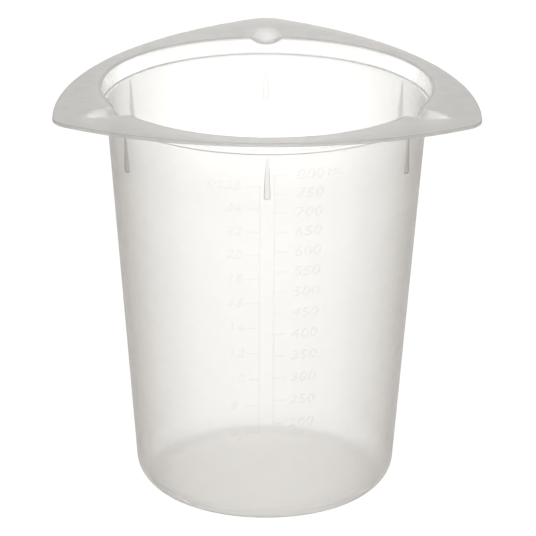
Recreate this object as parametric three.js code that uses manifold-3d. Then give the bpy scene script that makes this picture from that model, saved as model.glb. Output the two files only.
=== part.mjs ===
// Three-cornered pouring beaker of 800 mL, a single thin moulding in natural polypropylene.
// Millimetres, +Z up. The origin is the centre of the flat underside, so z = 0 is the bench.
// One corner of the pour flange points along +Y and the graduations face -Y.
// Every moulded feature is a solid of its own, and neighbours meet face to face.
import * as THREE from 'three';
import { mergeVertices } from 'three/addons/utils/BufferGeometryUtils.js';
import Module from 'manifold-3d';

const wasm = await Module();
wasm.setup();

// ---- Driving dimensions ----------------------------------------------------------------------

const HEIGHT = 137; // bench to the top of the pour flange
const WALL = 1.2; // wall thickness, measured level
const FLOOR = 1.6; // floor thickness

const BENCH_RADIUS = 42.1; // where the tapering outside wall would reach the bench
const NECK_RADIUS = 52; // outside of the wall where it ends under the collar
const NECK_Z = 131; // top of the tapering wall
const HEEL_RADIUS = 9.3; // rounding between floor and wall, outside
const HEEL_INNER_RADIUS = 7.8;
const HEEL_TOP = 10; // the heel ring hands over to the plain wall here

const LEDGE_Z = 132; // inner ledge that carries the lugs of a nested beaker
const LEDGE_RADIUS = 52.1; // outer edge of that ledge
const OPENING_RADIUS = 53.3; // clear mouth at the flange
const COLLAR_STEP = 1; // how far the collar stands out from the wall
const COLLAR_WALL = 1.1;

const FLANGE = 1.2; // thickness of the pour flange
const SIDE_ARC_RADIUS = 118.4; // bulge of the flange's three sides
const SIDE_DISTANCE = 59.7; // axis to the middle of a side
const CORNER_RADIUS = 8.8;

const SCOOP_RADIUS = 7.1; // round trough that each corner pours through
const SCOOP_SKIN = 0.8;
const SCOOP_TIP = 65.2; // where the trough runs out in the flange's top face
const SCOOP_SLOPE = THREE.MathUtils.degToRad(11.8);

const LUG_FACE_RADIUS = 51.95; // the lugs' upright outer line
const LUG_HALF_WIDTH = 1.05;
const LUG_STAND = 1; // how far a lug's rounded section stands up over its width
const LUG_BOTTOM = 116; // flat end that rests on the ledge of the beaker below

const SCALE_LINE = 0.45; // width of the raised scale lines
const SCALE_RELIEF = 0.25;
const SCALE_OFFSET = 2.3; // spine to the middle of the front
const TICK_LENGTH = 4;
const ML_PER_OUNCE = 29.574;

const GATE_RADIUS = 1.6; // round mark left by the moulding gate, in the middle of the floor
const GATE_RELIEF = 0.3;

const CLEARANCE = 0.3; // gap round a scoop, which is cut out of its neighbours
const FACETS = 96; // sides of every round; a multiple of 6 puts a flat behind each lug
const UP = 90; // azimuth of +Y, in degrees

// ---- Helpers -----------------------------------------------------------------------------------

const polar = (radius, degrees) => {
  const angle = THREE.MathUtils.degToRad(degrees);
  return new THREE.Vector2(radius * Math.cos(angle), radius * Math.sin(angle));
};

const wallRadius = (z) => BENCH_RADIUS + ((NECK_RADIUS - BENCH_RADIUS) * z) / NECK_Z;

// A solid of revolution from [radius, z] points, with the middle of a facet facing -Y.
function revolve(profile) {
  const points = profile.map(([radius, z]) => new THREE.Vector2(radius, z));
  const geometry = new THREE.LatheGeometry(points, FACETS, -Math.PI / FACETS);
  return geometry.rotateX(Math.PI / 2);
}

// Points of an arc in the [radius, z] plane, angles in degrees.
function arc(centreRadius, centreZ, radius, from, to, steps = 6) {
  return Array.from({ length: steps + 1 }, (_, i) => {
    const point = polar(radius, from + ((to - from) * i) / steps);
    return [centreRadius + point.x, centreZ + point.y];
  });
}

function toManifold(geometry) {
  const bare = geometry.clone();
  bare.deleteAttribute('normal');
  bare.deleteAttribute('uv');
  const merged = mergeVertices(bare);
  const index = merged.index.array;
  const corners = [];
  for (let i = 0; i < index.length; i += 3) {
    const [a, b, c] = index.slice(i, i + 3);
    if (a !== b && b !== c && c !== a) corners.push(a, b, c);
  }
  const vertProperties = new Float32Array(merged.attributes.position.array);
  const triVerts = new Uint32Array(corners);
  return new wasm.Manifold(new wasm.Mesh({ numProp: 3, vertProperties, triVerts }));
}

function toGeometry(manifold) {
  const mesh = manifold.getMesh();
  const geometry = new THREE.BufferGeometry();
  geometry.setAttribute('position', new THREE.BufferAttribute(mesh.vertProperties, 3));
  geometry.setIndex(new THREE.BufferAttribute(mesh.triVerts, 1));
  geometry.computeVertexNormals();
  return geometry;
}

// Turns a geometry made for the +Y corner to another azimuth.
const turnTo = (geometry, azimuth) =>
  geometry.clone().rotateZ(THREE.MathUtils.degToRad(azimuth - UP));

function box(width, depth, height, x, y, z) {
  return toManifold(new THREE.BoxGeometry(width, depth, height).translate(x, y, z));
}

// ---- Vessel ------------------------------------------------------------------------------------

// Centre of the rounding that is tangent to a level floor and to the tapering wall.
function heelCentre(radius, floorZ, wallInset) {
  const taper = Math.atan((NECK_RADIUS - BENCH_RADIUS) / NECK_Z);
  const z = floorZ + radius;
  return { r: wallRadius(z) - wallInset - radius / Math.cos(taper), z, taper };
}

function heelProfile() {
  const outer = heelCentre(HEEL_RADIUS, 0, 0);
  const inner = heelCentre(HEEL_INNER_RADIUS, FLOOR, WALL);
  const lean = THREE.MathUtils.radToDeg(outer.taper);
  return [
    [floorRadius(), FLOOR],
    [floorRadius(), 0],
    ...arc(outer.r, outer.z, HEEL_RADIUS, -90, -lean).slice(1),
    [wallRadius(HEEL_TOP), HEEL_TOP],
    [wallRadius(HEEL_TOP) - WALL, HEEL_TOP],
    ...arc(inner.r, inner.z, HEEL_INNER_RADIUS, -lean, -90),
    [floorRadius(), FLOOR],
  ];
}

// The flat floor ends where the outside starts to round up.
const floorRadius = () => heelCentre(HEEL_RADIUS, 0, 0).r;

const floorDisc = () =>
  revolve([[0, 0], [floorRadius(), 0], [floorRadius(), FLOOR], [0, FLOOR]]);

const gateMark = () =>
  revolve([
    [0, FLOOR],
    [GATE_RADIUS, FLOOR],
    [GATE_RADIUS * 0.8, FLOOR + GATE_RELIEF],
    [0, FLOOR + GATE_RELIEF],
  ]);

const sideWall = () =>
  revolve([
    [wallRadius(HEEL_TOP), HEEL_TOP],
    [NECK_RADIUS, NECK_Z],
    [NECK_RADIUS - WALL, NECK_Z],
    [wallRadius(HEEL_TOP) - WALL, HEEL_TOP],
    [wallRadius(HEEL_TOP), HEEL_TOP],
  ]);

const stackingLedge = () =>
  revolve([
    [NECK_RADIUS + COLLAR_STEP, NECK_Z],
    [LEDGE_RADIUS + COLLAR_WALL, LEDGE_Z],
    [NECK_RADIUS - WALL, LEDGE_Z],
    [NECK_RADIUS - WALL, NECK_Z],
    [NECK_RADIUS + COLLAR_STEP, NECK_Z],
  ]);

// ---- Pouring rim -------------------------------------------------------------------------------

const FLANGE_Z = HEIGHT - FLANGE;

const collarTube = () =>
  revolve([
    [LEDGE_RADIUS + COLLAR_WALL, LEDGE_Z],
    [OPENING_RADIUS + COLLAR_WALL, FLANGE_Z],
    [OPENING_RADIUS, FLANGE_Z],
    [LEDGE_RADIUS, LEDGE_Z],
    [LEDGE_RADIUS + COLLAR_WALL, LEDGE_Z],
  ]);

// Everything inside the collar and the mouth, from the neck up.
const mouthSpace = () =>
  revolve([
    [0, NECK_Z - SCOOP_RADIUS],
    [LEDGE_RADIUS, NECK_Z - SCOOP_RADIUS],
    [LEDGE_RADIUS, LEDGE_Z],
    [OPENING_RADIUS, FLANGE_Z],
    [OPENING_RADIUS, HEIGHT + SCOOP_RADIUS],
    [0, HEIGHT + SCOOP_RADIUS],
  ]);

// Three bulging sides joined by rounded corners, with a corner at +Y.
function flangeOutline() {
  const shape = new THREE.Shape();
  const centreDistance = SIDE_ARC_RADIUS - SIDE_DISTANCE;
  const reach = SIDE_ARC_RADIUS - CORNER_RADIUS;
  const half = centreDistance / 2;
  const cornerDistance = Math.sqrt(reach ** 2 - 3 * half ** 2) - half;
  const sweep = Math.asin((cornerDistance * Math.sin(Math.PI / 3)) / reach);
  for (const side of [-90, 30, 150]) {
    const middle = THREE.MathUtils.degToRad(side);
    const centre = polar(-centreDistance, side);
    shape.absarc(centre.x, centre.y, SIDE_ARC_RADIUS, middle - sweep, middle + sweep);
    const corner = polar(cornerDistance, side + 60);
    const next = middle + (2 * Math.PI) / 3;
    shape.absarc(corner.x, corner.y, CORNER_RADIUS, middle + sweep, next - sweep);
  }
  return shape;
}

function flangePlate() {
  const shape = flangeOutline();
  const mouth = Array.from({ length: FACETS }, (_, i) =>
    polar(OPENING_RADIUS, ((i + 0.5) * 360) / FACETS));
  shape.holes.push(new THREE.Path(mouth));
  const plate = new THREE.ExtrudeGeometry(shape, {
    depth: FLANGE,
    bevelEnabled: false,
    curveSegments: 8,
  });
  return plate.translate(0, 0, FLANGE_Z);
}

// A long cylinder round the axis of the +Y trough, which climbs outwards to the flange's top.
function troughCylinder(radius) {
  const length = 60;
  const cylinder = new THREE.CylinderGeometry(radius, radius, length, 48);
  cylinder.rotateX(SCOOP_SLOPE);
  const axisY = SCOOP_TIP - SCOOP_RADIUS * Math.sin(SCOOP_SLOPE);
  const axisZ = HEIGHT + SCOOP_RADIUS * Math.cos(SCOOP_SLOPE);
  return cylinder.translate(0, axisY, axisZ);
}

function spoutScoop() {
  const skin = toManifold(troughCylinder(SCOOP_RADIUS + SCOOP_SKIN));
  const trough = toManifold(troughCylinder(SCOOP_RADIUS));
  const above = box(60, 120, 60, 0, OPENING_RADIUS, HEIGHT + 30);
  const mouth = toManifold(mouthSpace());
  return toGeometry(skin.subtract(trough).subtract(above).subtract(mouth));
}

// Takes the three scoops, and a thin gap round them, out of a piece that they pass through.
function notchedForScoops(geometry) {
  const cutter = troughCylinder(SCOOP_RADIUS + SCOOP_SKIN + CLEARANCE);
  return [90, -30, -150].reduce(
    (piece, azimuth) => piece.subtract(toManifold(turnTo(cutter, azimuth))),
    toManifold(geometry),
  );
}

// ---- Outside of the wall -----------------------------------------------------------------------

// The space that the vessel's outside fills below the collar, grown by a relief.
const outsideCone = (relief) =>
  revolve([
    [0, 0],
    [BENCH_RADIUS + relief, 0],
    [NECK_RADIUS + relief, NECK_Z],
    [0, NECK_Z],
  ]);

// An upright lug with a parabolic section on the +Y side, dying out where the wall meets it.
function stackingLug() {
  const root = new THREE.Vector2(LUG_HALF_WIDTH, LUG_FACE_RADIUS - 2 * LUG_STAND);
  const rounded = Array.from({ length: 9 }, (_, i) => {
    const across = 1 - i / 4;
    return new THREE.Vector2(LUG_HALF_WIDTH * across, LUG_FACE_RADIUS - LUG_STAND * across ** 2);
  });
  const section = new THREE.Shape([root, ...rounded, new THREE.Vector2(-root.x, root.y)]);
  const upright = new THREE.ExtrudeGeometry(section, {
    depth: NECK_Z - LUG_BOTTOM,
    bevelEnabled: false,
  });
  upright.translate(0, 0, LUG_BOTTOM);
  return toGeometry(toManifold(upright).subtract(toManifold(outsideCone(0))));
}

// Liquid level for a volume in mL, from the inside radius of the vessel.
function levelOf(millilitres) {
  const inner = heelCentre(HEEL_INNER_RADIUS, FLOOR, WALL);
  const step = 0.05;
  let z = FLOOR;
  for (let volume = 0; volume < millilitres * 1000; z += step) {
    const drop = Math.max(0, inner.z - z);
    const inHeel = inner.r + Math.sqrt(HEEL_INNER_RADIUS ** 2 - drop ** 2);
    const radius = z < inner.z ? inHeel : wallRadius(z) - WALL;
    volume += Math.PI * radius ** 2 * step;
  }
  return z;
}

// A raised upright line with a tick at each level; side is +1 to the right of the front, -1 left.
function scaleComb(levels, side) {
  const bottom = Math.min(...levels) - SCALE_LINE / 2;
  const top = Math.max(...levels) + SCALE_LINE / 2;
  const front = -NECK_RADIUS;
  const reach = 2 * (NECK_RADIUS - BENCH_RADIUS);
  const spineX = side * SCALE_OFFSET;
  const spine = box(SCALE_LINE, reach, top - bottom, spineX, front, (top + bottom) / 2);
  const comb = levels.reduce((lines, level) => {
    const middle = spineX + (side * TICK_LENGTH) / 2;
    return lines.add(box(TICK_LENGTH, reach, SCALE_LINE, middle, front, level));
  }, spine);
  const skin = toManifold(outsideCone(SCALE_RELIEF)).subtract(toManifold(outsideCone(0)));
  return toGeometry(comb.intersect(skin));
}

const everyStep = (from, to, step) =>
  Array.from({ length: Math.round((to - from) / step) + 1 }, (_, i) => from + i * step);

// ---- Assembly ----------------------------------------------------------------------------------

const beaker = new THREE.Group();

const polypropylene = (colour) =>
  new THREE.MeshStandardMaterial({ color: colour, roughness: 0.45, metalness: 0 });

function add(name, geometry, colour = 0xe4e1da) {
  const mesh = new THREE.Mesh(geometry, polypropylene(colour));
  mesh.name = name;
  beaker.add(mesh);
}

add('floor_disc', floorDisc());
add('gate_mark', gateMark(), 0xd8d5ce);
add('heel_ring', revolve(heelProfile()));
add('side_wall', sideWall(), 0xf0eee9);
add('stacking_ledge', stackingLedge());
add('collar', toGeometry(notchedForScoops(collarTube())));
add('pour_flange', toGeometry(notchedForScoops(flangePlate())), 0xcac8c4);

const scoop = spoutScoop();
const scoopPlaces = { back: 90, front_right: -30, front_left: -150 };
for (const [place, azimuth] of Object.entries(scoopPlaces)) {
  add(`spout_scoop_${place}`, turnTo(scoop, azimuth));
}

const lug = stackingLug();
const lugPlaces = {
  back: 90,
  back_left: 150,
  front_left: -150,
  front: -90,
  front_right: -30,
  back_right: 30,
};
for (const [place, azimuth] of Object.entries(lugPlaces)) {
  add(`stacking_lug_${place}`, turnTo(lug, azimuth), 0xd8d5ce);
}

const millilitres = everyStep(200, 800, 50);
const ounces = everyStep(6, 26, 2).map((count) => count * ML_PER_OUNCE);
add('millilitre_scale', scaleComb(millilitres.map(levelOf), 1), 0xd8d5ce);
add('ounce_scale', scaleComb(ounces.map(levelOf), -1), 0xd8d5ce);

export default beaker;
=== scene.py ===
import math

import bpy
from mathutils import Matrix, Vector


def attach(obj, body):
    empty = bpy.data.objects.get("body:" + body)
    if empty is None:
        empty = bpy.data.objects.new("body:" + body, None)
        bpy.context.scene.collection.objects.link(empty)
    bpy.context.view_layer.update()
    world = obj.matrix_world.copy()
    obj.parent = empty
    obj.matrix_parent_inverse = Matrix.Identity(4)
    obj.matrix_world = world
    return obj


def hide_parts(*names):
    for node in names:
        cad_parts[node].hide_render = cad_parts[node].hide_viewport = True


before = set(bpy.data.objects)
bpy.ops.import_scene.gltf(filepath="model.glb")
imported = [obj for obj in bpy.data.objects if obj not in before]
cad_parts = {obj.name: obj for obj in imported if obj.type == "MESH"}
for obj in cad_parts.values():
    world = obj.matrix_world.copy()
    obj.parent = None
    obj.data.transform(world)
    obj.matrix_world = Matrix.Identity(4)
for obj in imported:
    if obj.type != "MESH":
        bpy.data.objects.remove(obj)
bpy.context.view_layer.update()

# ---- Sizes, in millimetres -------------------------------------------------------------------
# The same driving dimensions as the CAD model. The origin is the middle of the flat underside.

MM = 0.001
HEIGHT = 137.0
WALL = 1.2
FLOOR = 1.6
BENCH_RADIUS = 42.1
NECK_RADIUS = 52.0
NECK_Z = 131.0
HEEL_RADIUS = 9.3
HEEL_INNER_RADIUS = 7.8
LEDGE_Z = 132.0
LEDGE_RADIUS = 52.1
OPENING_RADIUS = 53.3
COLLAR_STEP = 1.0
COLLAR_WALL = 1.1
FLANGE = 1.2
SIDE_ARC_RADIUS = 118.4
SIDE_DISTANCE = 59.7
CORNER_RADIUS = 8.8
SCOOP_RADIUS = 7.1
SCOOP_SKIN = 0.8
SCOOP_TIP = 65.2
SCOOP_SLOPE = math.radians(11.8)
LUG_FACE_RADIUS = 51.95
LUG_HALF_WIDTH = 1.05
LUG_STAND = 1.0
LUG_BOTTOM = 116.0
LUG_TOP = 130.4
SCALE_LINE = 0.45
SCALE_RELIEF = 0.16
SCALE_SINK = 0.02
SCALE_OFFSET = 2.3
TICK_LENGTH = 4.0
LETTER_WIDTH = 1.25
ML_PER_OUNCE = 29.574
MILLILITRES = list(range(200, 801, 50))
OUNCES = list(range(6, 27, 2))
CORNERS = [math.radians(a) for a in (90, 210, 330)]
LUG_PLACES = {
    "back": 90,
    "back_left": 150,
    "front_left": 210,
    "front": 270,
    "front_right": 330,
    "back_right": 30,
}

TAPER = math.atan((NECK_RADIUS - BENCH_RADIUS) / NECK_Z)
JOINT = 0.05  # hair's breadth between the body and the rim that it runs into


def wall_radius(z):
    """Outside radius of the tapering wall at a height."""
    return BENCH_RADIUS + (NECK_RADIUS - BENCH_RADIUS) * z / NECK_Z


# ---- Mesh helpers ----------------------------------------------------------------------------

SHARP_ANGLE = math.radians(38)  # edges that bend more than this are shaded sharp


def new_piece(name, vertices, faces, material):
    """A mesh object from millimetre vertices that rides on the part's one body."""
    mesh = bpy.data.meshes.new(name)
    mesh.from_pydata([Vector(v) * MM for v in vertices], [], faces)
    mesh.validate()
    mesh.polygons.foreach_set("use_smooth", [True] * len(mesh.polygons))
    mesh.set_sharp_from_angle(angle=SHARP_ANGLE)
    mesh.materials.append(material)
    piece = bpy.data.objects.new(name, mesh)
    bpy.context.scene.collection.objects.link(piece)
    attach(piece, "root")
    return piece


def arc(centre_r, centre_z, radius, start, stop, steps):
    """Points of an arc in the (radius, z) plane, with angles in degrees."""
    points = []
    for i in range(steps + 1):
        angle = math.radians(start + (stop - start) * i / steps)
        points.append((centre_r + radius * math.cos(angle), centre_z + radius * math.sin(angle)))
    return points


def line(start, stop, steps, support=0.0):
    """Points from start to stop, both left out. Support points keep the shading flat near both."""
    length = math.dist(start, stop)
    shares = [i / steps for i in range(1, steps)]
    if support:
        near = support / length
        shares = [near] + [s for s in shares if near < s < 1 - near] + [1 - near]
    return [tuple(a + (b - a) * s for a, b in zip(start, stop)) for s in shares]


def ring_faces(columns, rows):
    """Quads of a closed ring of closed sections, wound to face outwards."""
    faces = []
    for c in range(columns):
        after = (c + 1) % columns
        for r in range(rows):
            up = (r + 1) % rows
            faces.append((c * rows + r, after * rows + r, after * rows + up, c * rows + up))
    return faces


# ---- Vessel body -----------------------------------------------------------------------------

LEDGE_SOFT = 0.25  # rounding of the wall's inner edge at the ledge
SUPPORT = 0.3  # distance from a line's ends to its support points
ARC_STEPS, WALL_STEPS, FLOOR_STEPS, ROUND_STEPS = 16, 30, 10, 288
HEEL_SHADE_TOP, HEEL_SHADE_WIDTH = 1.6, 9.0  # the ring where the floor turns into the wall, which gets a darker plastic as painted shade
OUTER_SHADE_ZONE, INNER_ZONE, HEEL_SHADE_ZONE, LEDGE_ZONE, SEAM_ZONE = range(5)


def heel_centre(radius, floor_z, inset):
    """Centre of the rounding that is tangent to a level floor and to the tapering wall."""
    z = floor_z + radius
    return wall_radius(z) - inset - radius / math.cos(TAPER), z


def body_profile():
    """Outside from the axis up, over the ledge, and the inside back to the axis."""
    lean = math.degrees(TAPER)
    outer_r, outer_z = heel_centre(HEEL_RADIUS, 0, 0)
    inner_r, inner_z = heel_centre(HEEL_INNER_RADIUS, FLOOR, WALL)
    outside = arc(outer_r, outer_z, HEEL_RADIUS, -90, -lean, ARC_STEPS)
    inside = arc(inner_r, inner_z, HEEL_INNER_RADIUS, -lean, -90, ARC_STEPS)
    neck = (NECK_RADIUS, NECK_Z)
    ledge_outer, ledge_inner = (NECK_RADIUS, LEDGE_Z), (NECK_RADIUS - WALL + LEDGE_SOFT, LEDGE_Z)
    profile = [(0, 0)] + line((0, 0), outside[0], FLOOR_STEPS, SUPPORT) + outside
    profile += line(outside[-1], neck, WALL_STEPS, SUPPORT) + [neck, ledge_outer, ledge_inner]
    profile += arc(ledge_inner[0], LEDGE_Z - LEDGE_SOFT, LEDGE_SOFT, 90, 180, 4)[1:]
    profile += line(profile[-1], inside[0], WALL_STEPS, SUPPORT) + inside
    profile += line(inside[-1], (0, FLOOR), FLOOR_STEPS, SUPPORT) + [(0, FLOOR)]
    return profile


def body_zone(face):
    """Which of the body's plastics a face gets. The middle of a face is in metres."""
    x, y, z = (value / MM for value in face.center)
    radius = math.hypot(x, y)
    if z > LEDGE_Z - LEDGE_SOFT and radius < NECK_RADIUS - 0.01:
        return LEDGE_ZONE
    if z > NECK_Z and radius > NECK_RADIUS - 0.05:
        return SEAM_ZONE
    # painted shade: a darker ring round the floor's edge, for the shadow where the beaker stands
    if z < HEEL_SHADE_TOP and radius > wall_radius(0) - HEEL_SHADE_WIDTH:
        return HEEL_SHADE_ZONE
    middle = wall_radius(z) - WALL / 2
    # painted shade: the outside skin gets a darker copy of the plastic, so the wall's sides darken
    # where it turns away
    return INNER_ZONE if radius < middle and z > FLOOR / 2 else OUTER_SHADE_ZONE


def revolved(profile, steps=ROUND_STEPS):
    """Vertices and faces of a profile that starts and ends on the axis."""
    vertices = [(0, 0, profile[0][1]), (0, 0, profile[-1][1])]
    rows = len(profile) - 2
    for i in range(steps):
        angle = 2 * math.pi * i / steps
        for radius, z in profile[1:-1]:
            vertices.append((radius * math.cos(angle), radius * math.sin(angle), z))
    faces = []
    for i in range(steps):
        here, there = 2 + i * rows, 2 + (i + 1) % steps * rows
        faces.append((0, there, here))
        for r in range(rows - 1):
            faces.append((here + r, there + r, there + r + 1, here + r + 1))
        faces.append((here + rows - 1, there + rows - 1, 1))
    return vertices, faces


# ---- Pouring rim -----------------------------------------------------------------------------

MOUTH_ROUND = 0.3  # rounding of the mouth's edge
EDGE_ROUND = 0.35  # rounding of the flange's outer edge
FOOT_ROUND = 0.3  # rounding of the collar's lower outside edge
ROOT_ROUND = 0.6  # rounding where the collar's outside meets the flange
EDGE_INSET = 0.06  # keeps the smooth outline inside the CAD's straight facets
TROUGH_SOFT, UNDER_SOFT = 0.6, 0.8  # how far a trough runs softly into the flange, above and below
TROUGH_MARGIN = 3.0  # how far the thin plastic reaches round a trough on the underside
TROUGH_SPAN = 11.0  # degrees to each side of a corner that its trough lies within
FINE_STEP, COARSE_STEP = 0.25, 1.0  # degrees between sections, near the corners and elsewhere
TOP_STEPS, UNDER_STEPS, COLLAR_STEPS, RIM_SUPPORT = 56, 48, 6, 0.15
COLLAR_ZONE, TROUGH_ZONE, FLANGE_ZONE, MOUTH_SHADE_ZONE, LIP_SHADE_ZONE, FOOT_SHADE_ZONE, JOINT_ZONE = range(7)


def softer(value, reach):
    """max(value, 0) with the corner rounded over a reach."""
    blend = max(reach - abs(value), 0) / reach
    return max(value, 0) + blend * blend * reach / 4


def trough_z(across, along, radius):
    """Height of the underside of a corner trough's cylinder at a place on the flange."""
    if abs(across) > radius or along < OPENING_RADIUS / 2:
        return HEIGHT + radius
    axis_y = SCOOP_TIP - SCOOP_RADIUS * math.sin(SCOOP_SLOPE)
    axis_z = HEIGHT + SCOOP_RADIUS * math.cos(SCOOP_SLOPE)
    half = math.sqrt(max(radius**2 - across**2, 0))
    return axis_z + ((along - axis_y) * math.sin(SCOOP_SLOPE) - half) / math.cos(SCOOP_SLOPE)


def nearest_corner(angle):
    """Signed angle from the nearest corner."""
    turns = ((angle - c + math.pi) % (2 * math.pi) - math.pi for c in CORNERS)
    return min(turns, key=abs)


def flange_top(radius, off):
    """Height of the flange's top at a radius and an angle from the nearest corner."""
    across, along = radius * math.sin(off), radius * math.cos(off)
    return HEIGHT - softer(HEIGHT - trough_z(across, along, SCOOP_RADIUS), TROUGH_SOFT)


def flange_bottom(radius, off):
    """Height of the flange's underside at a radius and an angle from the nearest corner."""
    across, along = radius * math.sin(off), radius * math.cos(off)
    level = HEIGHT - FLANGE
    trough = trough_z(across, along, SCOOP_RADIUS + SCOOP_SKIN)
    return level - softer(level - trough, UNDER_SOFT)


def outline_radius(off):
    """Distance from the axis to the flange's edge, by the angle from the nearest corner."""
    centre = SIDE_ARC_RADIUS - SIDE_DISTANCE
    reach = SIDE_ARC_RADIUS - CORNER_RADIUS
    corner = math.sqrt(reach**2 - 0.75 * centre**2) - centre / 2
    sweep = math.asin(corner * math.sin(math.pi / 3) / reach)
    joint_x = corner + CORNER_RADIUS * math.cos(math.pi / 3 - sweep)
    joint_y = CORNER_RADIUS * math.sin(math.pi / 3 - sweep)
    if abs(off) < math.atan2(joint_y, joint_x):
        return corner * math.cos(off) + math.sqrt(CORNER_RADIUS**2 - (corner * math.sin(off)) ** 2)
    lean = math.pi / 3 - abs(off)
    return math.sqrt(SIDE_ARC_RADIUS**2 - (centre * math.sin(lean)) ** 2) - centre * math.cos(lean)


def rim_section(angle):
    """Closed section of ledge, collar and flange at one angle round the axis."""
    off = nearest_corner(angle)
    inner, foot = NECK_RADIUS + JOINT, NECK_RADIUS + COLLAR_STEP
    # Up the inside: the joint, then the collar's inner face to the mouth's rounded edge.
    section = [(inner, NECK_Z), (inner, LEDGE_Z), (LEDGE_RADIUS, LEDGE_Z)]
    start = OPENING_RADIUS + MOUTH_ROUND
    lip = flange_top(start, off)
    mouth = arc(start, lip - MOUTH_ROUND, MOUTH_ROUND, 180, 90, 5)
    section += line(section[-1], mouth[0], COLLAR_STEPS, RIM_SUPPORT) + mouth[:-1]
    # Out over the top, round the edge and back along the underside.
    outer = outline_radius(off) - EDGE_INSET
    flat = outer - EDGE_ROUND
    section += [(r, flange_top(r, off)) for r in spread(start, flat, TOP_STEPS)]
    section += arc(flat, HEIGHT - EDGE_ROUND, EDGE_ROUND, 90, 0, 4)[1:]
    section += arc(flat, HEIGHT - FLANGE + EDGE_ROUND, EDGE_ROUND, 0, -90, 4)[:-1]
    root = OPENING_RADIUS + COLLAR_WALL + ROOT_ROUND
    section += [(r, flange_bottom(r, off)) for r in spread(flat, root, UNDER_STEPS)]
    # Down the outside of the collar to the step.
    under = flange_bottom(root, off)
    section += arc(root, under - ROOT_ROUND, ROOT_ROUND, 90, 180, 4)[1:]
    section += line(section[-1], (foot, NECK_Z + FOOT_ROUND), COLLAR_STEPS, RIM_SUPPORT)
    section += arc(foot - FOOT_ROUND, NECK_Z + FOOT_ROUND, FOOT_ROUND, 0, -90, 3)
    return section


def spread(start, stop, steps):
    """Evenly spaced values with one more close to each end."""
    step = math.copysign(RIM_SUPPORT, stop - start)
    inside = [start + (stop - start) * i / steps for i in range(1, steps)]
    return [start, start + step] + inside + [stop - step, stop]


def rim_angles():
    """Angles round the axis, four times as close together near the corners."""
    angles = []
    for corner in CORNERS:
        centre = math.degrees(corner)
        count = int(2 * TROUGH_SPAN / FINE_STEP)
        angles += [centre - TROUGH_SPAN + FINE_STEP * i for i in range(count)]
        count = int((120 - 2 * TROUGH_SPAN) / COARSE_STEP)
        angles += [centre + TROUGH_SPAN + COARSE_STEP * i for i in range(count)]
    return [math.radians(a) for a in angles]


def rim_mesh():
    """Vertices and faces of the rim, one section per angle."""
    vertices, rows = [], 0
    angles = rim_angles()
    for angle in angles:
        section = rim_section(angle)
        rows = len(section)
        vertices += [(r * math.cos(angle), r * math.sin(angle), z) for r, z in section]
    faces = [tuple(reversed(f)) for f in ring_faces(len(angles), rows)]
    return vertices, faces


def in_trough(radius, off, margin):
    """Whether a place on the rim belongs to a corner's thin trough, widened by a margin."""
    if radius < OPENING_RADIUS + COLLAR_WALL + 1.2 or abs(off) > math.radians(TROUGH_SPAN):
        return False
    across, along = radius * math.sin(off), radius * math.cos(off)
    across = math.copysign(max(abs(across) - margin / 2, 0), across)
    return HEIGHT - trough_z(across, along - margin, SCOOP_RADIUS) > 0.02


def rim_zone(face):
    """Which of the rim's plastics a face gets. The middle of a face is in metres."""
    x, y, z = (value / MM for value in face.center)
    off, radius = nearest_corner(math.atan2(y, x)), math.hypot(x, y)
    if radius < NECK_RADIUS + JOINT + 0.01 and z < LEDGE_Z:
        return JOINT_ZONE
    # painted shadow: the collar's rounded foot gets a dark plastic, for the dark line where the
    # collar steps out from the wall
    if z < NECK_Z + 0.46 and radius > NECK_RADIUS + COLLAR_STEP - FOOT_ROUND:
        return FOOT_SHADE_ZONE
    on_top = radius > OPENING_RADIUS and z > flange_top(radius, off) - MOUTH_ROUND
    # painted shade: the mouth's rounded edge gets a darker plastic, a dark line round the mouth
    if on_top and radius < OPENING_RADIUS + COLLAR_WALL:
        return MOUTH_SHADE_ZONE
    # painted shade: the flange's rounded outer edge gets a darker plastic, a dark line along the
    # flange's outline
    if radius > outline_radius(off) - EDGE_INSET - EDGE_ROUND / 2:
        return LIP_SHADE_ZONE
    if in_trough(radius, off, 0 if on_top else TROUGH_MARGIN):
        return TROUGH_ZONE
    if on_top or radius > OPENING_RADIUS + COLLAR_WALL + ROOT_ROUND:
        return FLANGE_ZONE
    return COLLAR_ZONE


# ---- Stacking lugs ---------------------------------------------------------------------------

LUG_SINK = 0.03  # how far a lug's back lies inside the wall
LUG_SOFT = 0.35  # rounding of its lower end
LUG_COLUMNS, LUG_ROWS, LUG_SOFT_ROWS = 9, 28, 5  # half a face's columns, and rows up the lug


def lug_ring(z, shares):
    """Section of a lug at a height: (radius, side) over its face and back along the wall."""
    drop = max(LUG_BOTTOM + LUG_SOFT - z, 0)
    face = LUG_FACE_RADIUS - LUG_SOFT + math.sqrt(max(LUG_SOFT**2 - drop**2, 0))
    wall = wall_radius(z)
    half = LUG_HALF_WIDTH * min(1, math.sqrt(max(face - wall, 0) / LUG_STAND))
    half = max(half, 0.02)
    front = []
    for share in shares:
        side = share * half
        front.append((wall + (face - wall) * (1 - share**4) ** 0.5, side))
    back = [(wall - LUG_SINK, share * half) for share in reversed(shares)]
    return front + back


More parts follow.
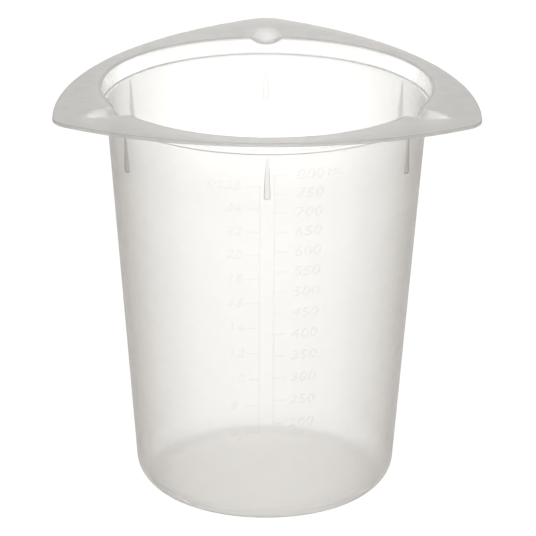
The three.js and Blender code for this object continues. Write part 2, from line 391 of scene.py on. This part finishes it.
def lug_mesh(direction):
    """A bullet-shaped lug: flat below, rounded across, dying out upwards into the wall."""
    start = LUG_BOTTOM + LUG_SOFT
    quarter = math.pi / 2 / LUG_SOFT_ROWS
    heights = [start - LUG_SOFT * math.cos(quarter * i) for i in range(LUG_SOFT_ROWS)]
    heights += [start + (LUG_TOP - start) * i / LUG_ROWS for i in range(LUG_ROWS + 1)]
    columns = range(-LUG_COLUMNS, LUG_COLUMNS + 1)  # crowded together towards the sides
    shares = [math.copysign(1 - (1 - abs(i) / LUG_COLUMNS) ** 2.2, i) for i in columns]
    vertices, rows = [], 2 * len(shares)
    for z in heights:
        for radius, side in lug_ring(z, shares):
            angle = direction + side / radius
            vertices.append((radius * math.cos(angle), radius * math.sin(angle), z))
    faces = []
    for level in range(len(heights) - 1):
        for i in range(rows):
            a, b = level * rows + i, level * rows + (i + 1) % rows
            faces.append((a, b, b + rows, a + rows))
    last = (len(heights) - 1) * rows
    for i in range(len(shares) - 1):
        a, b = i, rows - 1 - i
        faces.append((a + 1, a, b, b - 1))
        faces.append((last + a, last + a + 1, last + b - 1, last + b))
    return vertices, faces


# ---- Scales ----------------------------------------------------------------------------------


def inner_radius(z):
    """Inside radius of the vessel at a height."""
    centre_r, centre_z = heel_centre(HEEL_INNER_RADIUS, FLOOR, WALL)
    if z < centre_z - HEEL_INNER_RADIUS * math.sin(TAPER):
        reach = math.sqrt(max(HEEL_INNER_RADIUS**2 - (centre_z - z) ** 2, 0))
        return centre_r + reach
    return wall_radius(z) - WALL


def fill_levels(volumes, step=0.05):
    """Heights in millimetres at which the vessel holds each volume, in millilitres."""
    levels, z, held = [], FLOOR, 0.0
    for volume in volumes:
        while held < volume * 1000:
            held += math.pi * inner_radius(z + step / 2) ** 2 * step
            z += step
        levels.append(z)
    return levels


def on_wall(across, z, stand):
    """Point on the front of the wall: across it in millimetres, at a height, standing off."""
    radius = wall_radius(z) + stand
    angle = -math.pi / 2 + across / wall_radius(z)
    return (radius * math.cos(angle), radius * math.sin(angle), z)


FONT_HEIGHT = 0.72  # height of the built-in font's capitals, as a share of its size
SLANT, SPACING = 0.16, 1.04
UNIT_HEIGHT = 0.72  # height of ML and OZ, as a share of the numbers' height
SPINE_STEPS, TICK_STEPS = 60, 6


def raised_bar(start, stop, steps):
    """Closed bar with a rounded face between two places (across, height) on the wall."""
    along = Vector((stop[0] - start[0], stop[1] - start[1])).normalized()
    side = Vector((-along.y, along.x)) * SCALE_LINE / 2
    section = [(math.sin(a), math.cos(a)) for a in (math.radians(15 * i) for i in range(-6, 7))]
    section = [(-1, -SCALE_SINK)] + section[1:-1] + [(1, -SCALE_SINK)]
    vertices, faces = [], []
    for i in range(steps + 1):
        x = start[0] + (stop[0] - start[0]) * i / steps
        z = start[1] + (stop[1] - start[1]) * i / steps
        for share, rise in section:
            stand = rise * SCALE_RELIEF if rise > 0 else rise
            vertices.append(on_wall(x + share * side.x, z + share * side.y, stand))
    count = len(section)
    for i in range(steps):
        for j in range(count):
            a, b = i * count + j, i * count + (j + 1) % count
            faces.append((a, b, b + count, a + count))
    faces.append(tuple(reversed(range(count))))
    faces.append(tuple(range(steps * count, (steps + 1) * count)))
    return vertices, faces


def joined(parts):
    """Several (vertices, faces) pairs as one."""
    vertices, faces = [], []
    for more_vertices, more_faces in parts:
        faces += [tuple(i + len(vertices) for i in f) for f in more_faces]
        vertices += more_vertices
    return vertices, faces


def comb(volumes, side):
    """A spine with a tick at each volume, to one side of the middle."""
    levels = fill_levels(volumes)
    spine = side * SCALE_OFFSET
    bars = [raised_bar((spine, levels[0]), (spine, levels[-1]), SPINE_STEPS)]
    for z in levels:
        bars.append(raised_bar((spine, z), (spine + side * TICK_LENGTH, z), TICK_STEPS))
    return joined(bars)


def lettering(text, left, level, height):
    """Raised characters from the built-in font, laid on the wall from their left end."""
    curve = bpy.data.curves.new("lettering", "FONT")
    curve.body = text
    curve.align_y = "CENTER"
    curve.size = height / FONT_HEIGHT
    curve.shear = SLANT
    curve.space_character = SPACING
    curve.extrude = (SCALE_RELIEF + SCALE_SINK) / 2
    curve.resolution_u = 4
    holder = bpy.data.objects.new("lettering", curve)
    bpy.context.scene.collection.objects.link(holder)
    evaluated = holder.evaluated_get(bpy.context.evaluated_depsgraph_get())
    mesh = bpy.data.meshes.new_from_object(evaluated)
    middle = (SCALE_RELIEF - SCALE_SINK) / 2
    vertices = []
    for x, y, z in (v.co for v in mesh.vertices):
        vertices.append(on_wall(left + x * LETTER_WIDTH, level + y, middle + z))
    faces = [tuple(p.vertices) for p in mesh.polygons]
    bpy.data.objects.remove(holder)
    bpy.data.curves.remove(curve)
    bpy.data.meshes.remove(mesh)
    return vertices, faces


def numerals(names, volumes, lefts, height, unit, unit_left):
    """Every number of one scale, smaller towards the bottom, and the unit beside the top one.

    The left ends run from the first of two places at the bottom mark to the second at the top.
    """
    levels = fill_levels(volumes)
    parts = []
    for name, z in zip(names, levels):
        share = (z - levels[0]) / (levels[-1] - levels[0])
        left = lefts[0] + (lefts[1] - lefts[0]) * share
        size = height * (0.92 + 0.08 * share)
        parts.append(lettering(str(name), left, z, size))
    parts.append(lettering(unit, unit_left, levels[-1], height * UNIT_HEIGHT))
    return joined(parts)


# ---- Materials -------------------------------------------------------------------------------


class Graph:
    """Short forms for building a node material."""

    def __init__(self, name):
        self.material = bpy.data.materials.new(name)
        self.material.use_nodes = True
        self.tree = self.material.node_tree
        self.tree.nodes.clear()
        self.coordinates = self.node("ShaderNodeTexCoord").outputs["Object"]

    def node(self, kind, **values):
        made = self.tree.nodes.new(kind)
        for key, value in values.items():
            setattr(made, key, value)
        return made

    def link(self, source, target):
        self.tree.links.new(source, target)

    def put(self, socket, value):
        if isinstance(value, bpy.types.NodeSocket):
            self.link(value, socket)
        else:
            socket.default_value = value

    def noise(self, scale, detail=2.0, roughness=0.5, stretch=(1, 1, 1)):
        mapping = self.node("ShaderNodeMapping")
        mapping.inputs["Scale"].default_value = stretch
        self.link(self.coordinates, mapping.inputs["Vector"])
        made = self.node("ShaderNodeTexNoise")
        self.link(mapping.outputs["Vector"], made.inputs["Vector"])
        made.inputs["Scale"].default_value = scale
        made.inputs["Detail"].default_value = detail
        made.inputs["Roughness"].default_value = roughness
        return made.outputs["Fac"]

    def math(self, operation, a, b=0.0):
        made = self.node("ShaderNodeMath", operation=operation)
        self.put(made.inputs[0], a)
        self.put(made.inputs[1], b)
        return made.outputs[0]

    def remap(self, value, low, high, out_low, out_high):
        made = self.node("ShaderNodeMapRange")
        for socket, number in zip(made.inputs[0:5], (value, low, high, out_low, out_high)):
            self.put(socket, number)
        return made.outputs[0]

    def colour_mix(self, factor, first, second):
        made = self.node("ShaderNodeMix", data_type="RGBA")
        self.put(made.inputs["Factor"], factor)
        for socket, value in zip([s for s in made.inputs if s.type == "RGBA"], (first, second)):
            socket.default_value = (*value, 1)
        return [s for s in made.outputs if s.type == "RGBA"][0]

    def shader(self, kind, **values):
        made = self.node(kind)
        for key, value in values.items():
            self.put(made.inputs[key], value)
        return made.outputs[0]

    def mix(self, factor, first, second):
        made = self.node("ShaderNodeMixShader")
        self.put(made.inputs[0], factor)
        self.link(first, made.inputs[1])
        self.link(second, made.inputs[2])
        return made.outputs[0]

    def finish(self, surface):
        output = self.node("ShaderNodeOutputMaterial")
        self.link(surface, output.inputs["Surface"])
        return self.material


THROUGH = 0.65  # share of the scattered light that goes on through the wall
INDEX = 1.45  # refractive index that the gloss goes by
GLOSS = 0.1  # how much of that gloss the satin surface shows
DEEP = (0.12, 0.06, 0)  # what a clear share passes when it is seen edge on


def polypropylene(name, face_on, edge_on, light, dark, deep=DEEP, rise=2.5):
    """Natural translucent polypropylene: part clear, part milky, with a satin gloss.

    The milky share grows from face_on to edge_on as the wall turns away, and the clear share is
    dimmed towards the deep colour, because the way through the plastic gets longer. The milky
    share scatters light both back and through, in a colour between dark and light.
    """
    g = Graph(name)
    flow = g.noise(14, 3, 0.55, (1, 1, 0.35))
    colour = g.colour_mix(flow, dark, light)
    facing = g.node("ShaderNodeLayerWeight")
    facing.inputs["Blend"].default_value = 0.5
    glance = facing.outputs["Facing"]
    opacity = g.remap(g.math("POWER", glance, rise), 0.0, 1.0, face_on, edge_on)
    opacity = g.math("ADD", opacity, g.remap(flow, 0.3, 0.7, -0.012, 0.012))
    grain = g.noise(900, 2, 0.6)
    bump = g.node("ShaderNodeBump")
    bump.inputs["Strength"].default_value = 0.06
    bump.inputs["Distance"].default_value = 0.0002
    g.link(grain, bump.inputs["Height"])
    normal = bump.outputs["Normal"]
    diffuse = g.shader("ShaderNodeBsdfDiffuse", Color=colour, Normal=normal)
    glow = g.shader("ShaderNodeBsdfTranslucent", Color=colour, Normal=normal)
    milk = g.mix(THROUGH, diffuse, glow)
    depth = g.math("POWER", glance, 3.0)
    clear = g.shader("ShaderNodeBsdfTransparent", Color=g.colour_mix(depth, (1, 1, 1), deep))
    body = g.mix(opacity, clear, milk)
    fresnel = g.node("ShaderNodeFresnel")
    fresnel.inputs["IOR"].default_value = INDEX
    roughness = g.remap(g.noise(160, 2), 0.3, 0.7, 0.22, 0.34)
    gloss = g.shader("ShaderNodeBsdfGlossy", Color=(1, 1, 1, 1), Roughness=roughness, Normal=normal)
    shine = g.math("MULTIPLY", fresnel.outputs[0], GLOSS)
    return g.finish(g.mix(shine, body, gloss))


def studio_floor():
    """White sweep: even white to the camera, and matt for the light that it throws back."""
    g = Graph("studio_floor")
    tone = g.colour_mix(g.noise(3, 2), (0.84, 0.84, 0.83), (0.86, 0.86, 0.86))
    matt = g.shader("ShaderNodeBsdfDiffuse", Color=tone)
    white = g.shader("ShaderNodeEmission", Color=(1, 1, 0.985, 1), Strength=1.04)
    seen = g.node("ShaderNodeLightPath").outputs["Is Camera Ray"]
    return g.finish(g.mix(seen, matt, white))


# ---- Pieces ----------------------------------------------------------------------------------

WALL_LIGHT, WALL_DARK = (0.96, 0.949, 0.932), (0.95, 0.939, 0.922)
# Painted shade: the outside skin's darker copy of the wall colour, which darkens the wall's sides
# where it turns away
OUTER_SHADE_LIGHT, OUTER_SHADE_DARK = (0.886, 0.868, 0.846), (0.876, 0.858, 0.836)
# Painted shade: the heel ring's darker colour, for the shadow where the beaker stands on the floor
HEEL_SHADE_LIGHT, HEEL_SHADE_DARK = (0.72, 0.715, 0.7), (0.7, 0.695, 0.68)
# Painted shade: the darker colour of the flange's rounded outer edge
LIP_SHADE_LIGHT, LIP_SHADE_DARK = (0.7, 0.69, 0.675), (0.68, 0.67, 0.655)
# Painted shade: the darker colour of the mouth's rounded edge
MOUTH_SHADE_LIGHT, MOUTH_SHADE_DARK = (0.8, 0.79, 0.775), (0.78, 0.77, 0.755)
# Painted shade: a dark copy of the plastic's colour, used on the collar's foot and on the lugs'
# sides
SHADE_TONE_LIGHT, SHADE_TONE_DARK = (0.45, 0.445, 0.43), (0.42, 0.415, 0.4)
THIN = (0.75, 0.74, 0.73)
HALF = (0.65, 0.635, 0.61)
# painted shade on the outside skin: darker than the inside, and more opaque where it is seen edge
# on
outer_shaded_plastic = polypropylene("outer_shaded_plastic", 0.32, 0.9, OUTER_SHADE_LIGHT, OUTER_SHADE_DARK)
inner_plastic = polypropylene("inner_plastic", 0.31, 0.42, WALL_LIGHT, WALL_DARK, HALF)
# painted shade round the floor's edge
heel_shaded_plastic = polypropylene("heel_shaded_plastic", 0.55, 0.9, HEEL_SHADE_LIGHT, HEEL_SHADE_DARK)
collar_plastic = polypropylene("collar_plastic", 0.1, 0.4, WALL_LIGHT, WALL_DARK, THIN)
joint_plastic = polypropylene("joint_plastic", 0.01, 0.01, WALL_LIGHT, WALL_DARK, (1, 1, 1))
flange_plastic = polypropylene("flange_plastic", 0.6, 0.95, WALL_LIGHT, WALL_DARK)
# painted shade along the mouth's edge
mouth_edge_shaded_plastic = polypropylene("mouth_edge_shaded_plastic", 0.7, 0.95, MOUTH_SHADE_LIGHT, MOUTH_SHADE_DARK)
# painted shade along the flange's outer edge
lip_shaded_plastic = polypropylene("lip_shaded_plastic", 0.7, 0.95, LIP_SHADE_LIGHT, LIP_SHADE_DARK)
# painted shadow line along the collar's foot
foot_shaded_plastic = polypropylene("foot_shaded_plastic", 0.8, 0.9, SHADE_TONE_LIGHT, SHADE_TONE_DARK)
scoop_plastic = polypropylene("scoop_plastic", 0.28, 0.6, WALL_LIGHT, WALL_DARK, THIN)
# painted shade: clear face on and dark edge on, so the lugs' sides and lower ends darken
lug_shaded_plastic = polypropylene("lug_shaded_plastic", 0.05, 0.8, SHADE_TONE_LIGHT, SHADE_TONE_DARK, rise=1.3)
relief_plastic = polypropylene("relief_plastic", 0.09, 0.4, WALL_LIGHT, WALL_DARK, THIN)


def paint(piece, plastics, zone):
    """Give each face of a piece the plastic of its zone. The first one is on the piece already."""
    for plastic in plastics:
        piece.data.materials.append(plastic)
    for face in piece.data.polygons:
        face.material_index = zone(face)


body = new_piece("vessel_body", *revolved(body_profile()), outer_shaded_plastic)
paint(body, (inner_plastic, heel_shaded_plastic, collar_plastic, joint_plastic), body_zone)
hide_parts("floor_disc", "heel_ring", "side_wall")

rim = new_piece("pouring_rim", *rim_mesh(), collar_plastic)
rim_plastics = (
    scoop_plastic,
    flange_plastic,
    mouth_edge_shaded_plastic,
    lip_shaded_plastic,
    foot_shaded_plastic,
    joint_plastic,
)
paint(rim, rim_plastics, rim_zone)
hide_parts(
    "stacking_ledge",
    "collar",
    "pour_flange",
    "spout_scoop_back",
    "spout_scoop_front_right",
    "spout_scoop_front_left",
)

for place, degrees in LUG_PLACES.items():
    lug = new_piece("lug_" + place, *lug_mesh(math.radians(degrees)), lug_shaded_plastic)
    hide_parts("stacking_lug_" + place)

ounce_volumes = [o * ML_PER_OUNCE for o in OUNCES]
for name, volumes, side in (("millilitre", MILLILITRES, 1), ("ounce", ounce_volumes, -1)):
    marks = new_piece(name + "_marks", *comb(volumes, side), relief_plastic)
    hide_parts(name + "_scale")

ml_numbers = numerals(MILLILITRES, MILLILITRES, (7.1, 8.9), 3.4, "ML", 19.0)
oz_numbers = numerals(OUNCES, ounce_volumes, (-11.4, -13.6), 3.1, "OZ", -19.4)
for name, shape in (("millilitre", ml_numbers), ("ounce", oz_numbers)):
    figures = new_piece(name + "_numerals", *shape, relief_plastic)

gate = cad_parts["gate_mark"]
gate.data.materials.clear()
gate.data.materials.append(relief_plastic)

# ---- Stage, light and camera -----------------------------------------------------------------

FLOOR_HALF = 3.0  # half the white sweep's side, in metres
FLOOR_DROP = 0.0005  # how far the sweep lies below the beaker
LIGHT_DISTANCE = 1.2
LIGHT_TARGET = Vector((0, 0, 0.07))
SOFTBOXES = {  # azimuth, elevation, width, height, watts
    "behind_low": (0, 8, 0.5, 0.3, 8.4),
    "behind_right_low": (35, 8, 0.5, 0.3, 2.31),
    "behind_left_low": (-35, 8, 0.5, 0.3, 2.31),
    "side_right_low": (70, 8, 0.5, 0.3, 4.18),
    "side_left_low": (-70, 8, 0.5, 0.3, 4.18),
    "front_low": (180, 8, 0.5, 0.3, 2.45),
    "behind": (0, 35, 0.5, 0.5, 3.73),
    "front": (180, 35, 0.5, 0.5, 6.69),
}

floor_mesh = bpy.data.meshes.new("studio_floor")
floor_corners = [
    (across * FLOOR_HALF, along * FLOOR_HALF, 0)
    for across, along in ((-1, -1), (1, -1), (1, 1), (-1, 1))
]
floor_mesh.from_pydata(floor_corners, [], [(0, 1, 2, 3)])
floor_mesh.materials.append(studio_floor())
floor = bpy.data.objects.new("studio_floor", floor_mesh)
bpy.context.scene.collection.objects.link(floor)
floor.location.z = -FLOOR_DROP


def softbox(name, azimuth, elevation, width, height, power):
    """Area light on a sphere round the beaker. Azimuth 0 is straight behind it."""
    data = bpy.data.lights.new(name, "AREA")
    data.shape = "RECTANGLE"
    data.size, data.size_y, data.energy = width, height, power
    light = bpy.data.objects.new(name, data)
    bpy.context.scene.collection.objects.link(light)
    across, up = math.radians(azimuth), math.radians(elevation)
    out = Vector((math.cos(up) * math.sin(across), math.cos(up) * math.cos(across), math.sin(up)))
    light.location = LIGHT_TARGET + out * LIGHT_DISTANCE
    light.rotation_euler = (-out).to_track_quat("-Z", "Y").to_euler()
    light.visible_camera = False


for name, values in SOFTBOXES.items():
    softbox(name, *values)

world = bpy.data.worlds.new("studio")
world.use_nodes = True
world.node_tree.nodes["Background"].inputs["Strength"].default_value = 0.0
bpy.context.scene.world = world
bpy.context.scene.view_settings.view_transform = "Standard"
bpy.context.scene.cycles.transparent_max_bounces = 32

CAMERA_PLACE = Vector((-0.00598, -1.07545, 0.47839))
CAMERA_DIP, CAMERA_TURN, CAMERA_ROLL = 0.35975, -0.00623, 0.00601
camera_data = bpy.data.cameras.new("camera")
camera_data.sensor_width = 36
camera_data.lens = 234.5
camera_data.clip_end = 20
camera = bpy.data.objects.new("camera", camera_data)
bpy.context.scene.collection.objects.link(camera)
aim = Matrix.Rotation(CAMERA_TURN, 4, "Z") @ Matrix.Rotation(math.pi / 2 - CAMERA_DIP, 4, "X")
camera.matrix_world = Matrix.Translation(CAMERA_PLACE) @ aim @ Matrix.Rotation(CAMERA_ROLL, 4, "Z")
bpy.context.scene.camera = camera
